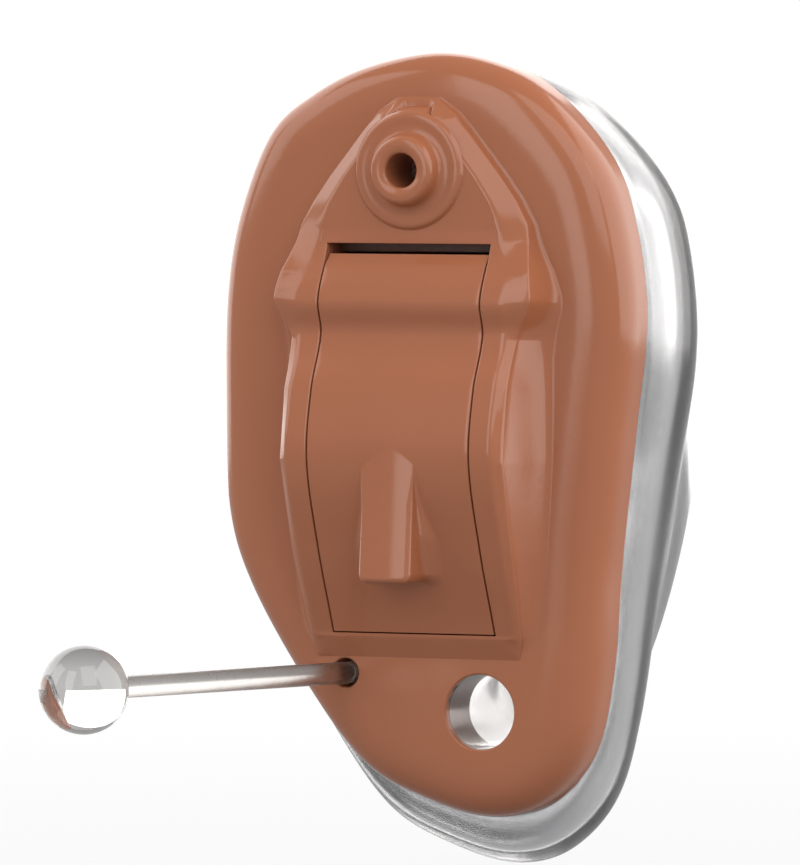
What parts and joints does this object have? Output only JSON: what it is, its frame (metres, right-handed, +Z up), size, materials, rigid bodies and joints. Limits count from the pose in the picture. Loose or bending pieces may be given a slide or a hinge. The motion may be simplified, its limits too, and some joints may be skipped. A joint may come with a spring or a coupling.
{
  "type": "completely-in-canal hearing aid",
  "caption": "Custom in-canal hearing aid: clear shell, brown faceplate, swinging battery door, vent, microphone port and a removal line with a ball tip.",
  "frame": {"origin": "middle of the shell's mouth, on the bond line between shell and faceplate", "axes": "+Y into the ear canal, +Z up along the faceplate's height, +X to the right seen from outside the ear"},
  "size_m": [0.0108, 0.0243, 0.0185],
  "materials": {
    "clear_acrylic": "clear polished acrylic",
    "brown_acrylic": "glossy flesh-brown acrylic",
    "steel": "fine brushed stainless steel",
    "nickel_steel": "nickel-plated steel",
    "seal_plastic": "blue nylon seal",
    "frame_plastic": "dark brown moulded plastic",
    "gold_spring": "gold-plated spring metal",
    "screen_mesh": "fine woven screen",
    "dark_rubber": "black silicone",
    "pale_rubber": "pale silicone",
    "board_green": "green solder mask",
    "chip_black": "black epoxy",
    "capacitor_ceramic": "fired ceramic",
    "white_plastic": "white moulded plastic",
    "clear_tube": "clear flexible tube",
    "clear_nylon": "clear nylon",
    "wire_red": "lacquered stranded wire",
    "wire_blue": "lacquered stranded wire",
    "wire_black": "lacquered stranded wire"
  },
  "bodies": {
    "aid": {"shell": "clear_acrylic", "faceplate": "brown_acrylic", "hinge_pin": "steel", "battery_frame": "frame_plastic", "contact_positive": "gold_spring", "contact_negative": "gold_spring", "mic_port_cap": "brown_acrylic", "mic_screen": "screen_mesh", "mic_sleeve": "dark_rubber", "microphone": "steel", "mic_pads": "gold_spring", "circuit_board": "board_green", "amplifier_chip": "chip_black", "capacitors": "capacitor_ceramic", "receiver": "steel", "receiver_pads": "gold_spring", "receiver_boot": "pale_rubber", "receiver_tube": "pale_rubber", "outlet_sleeve": "white_plastic", "vent_tube": "clear_tube", "line_anchor": "clear_nylon", "mic_wires": "wire_red", "receiver_wires": "wire_blue", "battery_wires": "wire_black"},
    "door": {"battery_door": "brown_acrylic", "battery_can": "nickel_steel", "battery_gasket": "seal_plastic", "battery_cap": "nickel_steel"},
    "pull_line": {"removal_line": "clear_nylon", "removal_ball": "clear_nylon"},
    "guard": {"wax_guard": "white_plastic", "wax_guard_membrane": "screen_mesh"}
  },
  "joints": [
    {"name": "door_hinge", "type": "hinge", "parent": "aid", "child": "door", "pos_m": [0, -0.00193, 0.00305], "axis": [-1, 0, 0], "range_deg": [0, 85]},
    {"name": "line_bend", "type": "hinge", "parent": "aid", "child": "pull_line", "pos_m": [-0.00186, -0.0014, -0.00542], "axis": [0, 0, 1], "range_deg": [-20, 20], "stiffness_Nm_per_rad": 0.0026},
    {"name": "guard_slide", "type": "slide", "parent": "aid", "child": "guard", "axis": [-0.2164, 0.9763, 0], "range_m": [0, 0.0025]}
  ]
}
